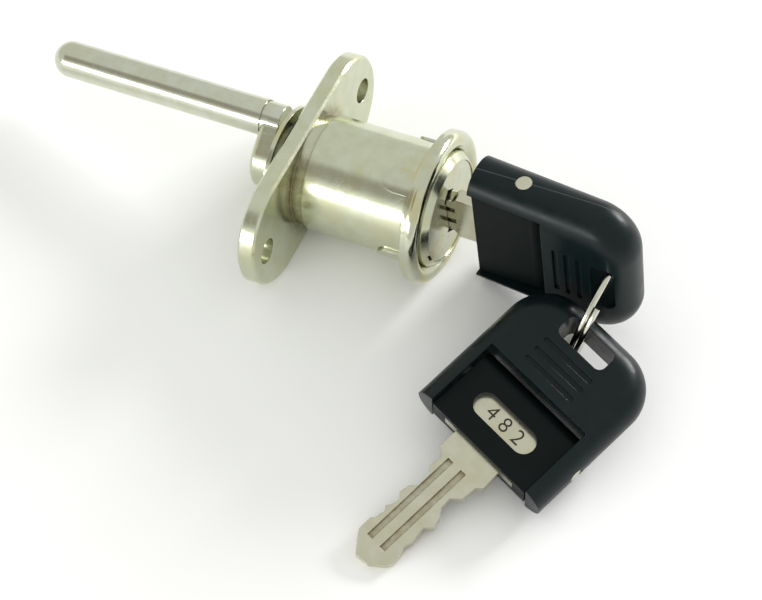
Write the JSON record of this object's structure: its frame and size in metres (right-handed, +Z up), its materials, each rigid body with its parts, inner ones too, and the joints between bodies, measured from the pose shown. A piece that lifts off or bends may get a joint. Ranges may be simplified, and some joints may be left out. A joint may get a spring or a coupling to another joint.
{
  "type": "pedestal lock",
  "caption": "Furniture pedestal lock: flanged cylinder, keyed plug turning an eccentric locking pin, with folding-head keys on a split ring.",
  "frame": {"origin": "lock axis at the front face of the flange, midway between the two screw holes", "axes": "+X along the barrel towards the key, +Y along the flange, +Z up"},
  "size_m": [0.1115, 0.0787, 0.0295],
  "materials": {
    "nickel_plate": "satin",
    "nickel_trim": "polished",
    "nickel_plug": "satin",
    "nickel_steel": "bright",
    "key_steel": "bright",
    "spring_steel": "plain",
    "brass": "stamped",
    "black_plastic": "satin"
  },
  "bodies": {
    "lock_body": {"housing": "nickel_plate", "rosette": "nickel_trim"},
    "plug_train": {"plug": "nickel_plug", "retaining_clip": "spring_steel", "tail_washer": "nickel_steel", "crank": "nickel_plate", "crank_screw": "nickel_steel", "locking_pin": "nickel_steel", "wafer_springs": "spring_steel"},
    "wafers_up": {"wafer_1": "brass", "wafer_3": "brass", "wafer_5": "brass", "wafer_7": "brass"},
    "wafers_down": {"wafer_2": "brass", "wafer_4": "brass", "wafer_6": "brass"},
    "key_1": {"key_1_blade": "key_steel", "key_1_block": "black_plastic"},
    "head_1": {"key_1_head": "black_plastic", "key_1_pivots": "key_steel"},
    "ring": {"split_ring": "nickel_steel"},
    "head_2": {"key_2_head": "black_plastic", "key_2_pivots": "key_steel"},
    "key_2": {"key_2_blade": "key_steel", "key_2_block": "black_plastic"}
  },
  "joints": [
    {"name": "plug_turn", "type": "hinge", "parent": "lock_body", "child": "plug_train", "pos_m": [0, 0, 0], "axis": [1, 0, 0], "range_deg": [0, 180]},
    {"name": "key_withdraw", "type": "slide", "parent": "plug_train", "child": "key_1", "axis": [1, 0, 0], "range_m": [0, 0.026]},
    {"name": "wafers_up_slide", "type": "slide", "parent": "plug_train", "child": "wafers_up", "axis": [0, 0, 1], "range_m": [0, 0.0005]},
    {"name": "wafers_down_slide", "type": "slide", "parent": "plug_train", "child": "wafers_down", "axis": [0, 0, -1], "range_m": [0, 0.0005]},
    {"name": "head_1_fold", "type": "hinge", "parent": "key_1", "child": "head_1", "pos_m": [0.037, 0, 0], "axis": [0, 0, 1], "range_deg": [-42, 95.3]},
    {"name": "ring_swing", "type": "hinge", "parent": "head_1", "child": "ring", "pos_m": [0.05288, -0.00014, 0.00294], "axis": [0.092, 0.9958, 0], "range_deg": [-32, 3]},
    {"name": "key_2_slide", "type": "hinge", "parent": "ring", "child": "head_2", "pos_m": [0.04994, -0.00375, -0.00547], "axis": [-0.962, 0.041, 0.27], "range_deg": [-25, 28]},
    {"name": "head_2_fold", "type": "hinge", "parent": "head_2", "child": "key_2", "pos_m": [0.0459, -0.02688, -0.00876], "axis": [-0.9005, 0.3455, 0.2639], "range_deg": [-90, 90]}
  ],
  "couplings": [
    {"joint": "wafers_up_slide", "follows": "key_withdraw", "ratio": 0.019231},
    {"joint": "wafers_down_slide", "follows": "key_withdraw", "ratio": 0.019231}
  ]
}
